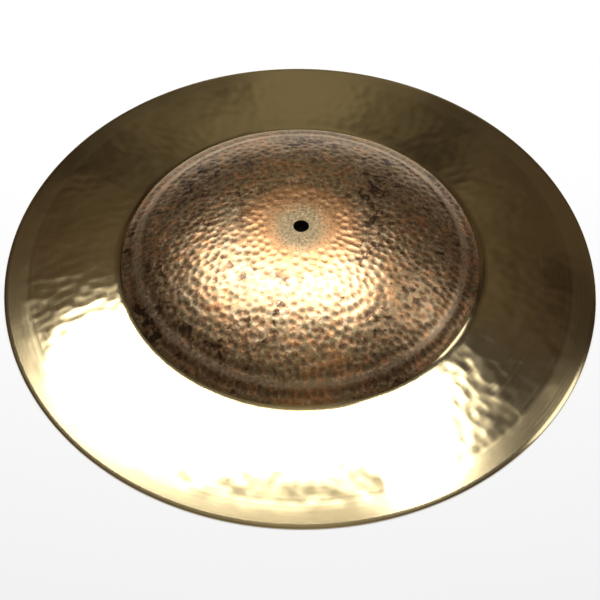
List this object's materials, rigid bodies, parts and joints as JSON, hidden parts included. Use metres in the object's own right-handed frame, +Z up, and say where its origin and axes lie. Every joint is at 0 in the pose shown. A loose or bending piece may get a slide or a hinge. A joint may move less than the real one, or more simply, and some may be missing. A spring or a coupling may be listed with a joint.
{
  "type": "ride cymbal",
  "caption": "Round hammered bronze ride cymbal with a very wide raw domed bell, a buffed lathed bow, a thin rounded edge and a centre hole for a stand's rod.",
  "frame": {"origin": "centre of the circle that the rim stands on, at the foot of the edge", "axes": "+Z up through the hole and out of the bell's top; X and Y lie in the plane that the rim stands on, and no direction across the disc is special"},
  "size_m": [0.508, 0.508, 0.0569],
  "materials": {
    "bronze": "bell bronze, densely hammered and left raw and patinated on the bell, lathed and buffed bright on the bow"
  },
  "bodies": {
    "root": {"cymbal": "bronze"}
  },
  "joints": []
}
